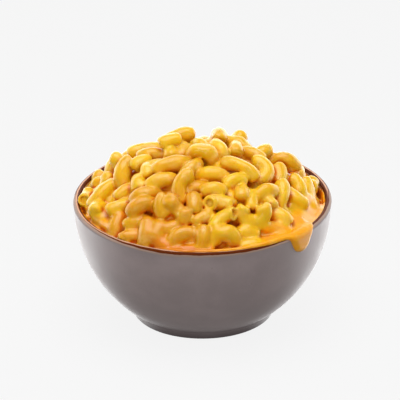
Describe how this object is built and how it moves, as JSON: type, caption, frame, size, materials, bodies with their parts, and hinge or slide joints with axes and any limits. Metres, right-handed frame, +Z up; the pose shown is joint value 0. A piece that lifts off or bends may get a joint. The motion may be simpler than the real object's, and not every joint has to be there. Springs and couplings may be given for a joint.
{
  "type": "bowl of mac and cheese",
  "caption": "Elbow macaroni in cheese sauce heaped in a round stoneware bowl with a foot ring, one drip of sauce running over the lip.",
  "frame": {"origin": "middle of the foot ring's underside, on the bowl's axis", "axes": "+Z up along the bowl's axis; the sauce runs over the lip on the side of +X and -Y"},
  "size_m": [0.1498, 0.1498, 0.1102],
  "materials": {
    "bowl": "satin grey-mauve glaze, brown where it thins at the lip, speckled tan inside",
    "macaroni": "moist pasta coated in cheese sauce",
    "cheese_sauce": "smooth glossy sauce"
  },
  "bodies": {
    "root": {"bowl": "bowl", "macaroni": "macaroni", "cheese_sauce": "cheese_sauce"}
  },
  "joints": []
}
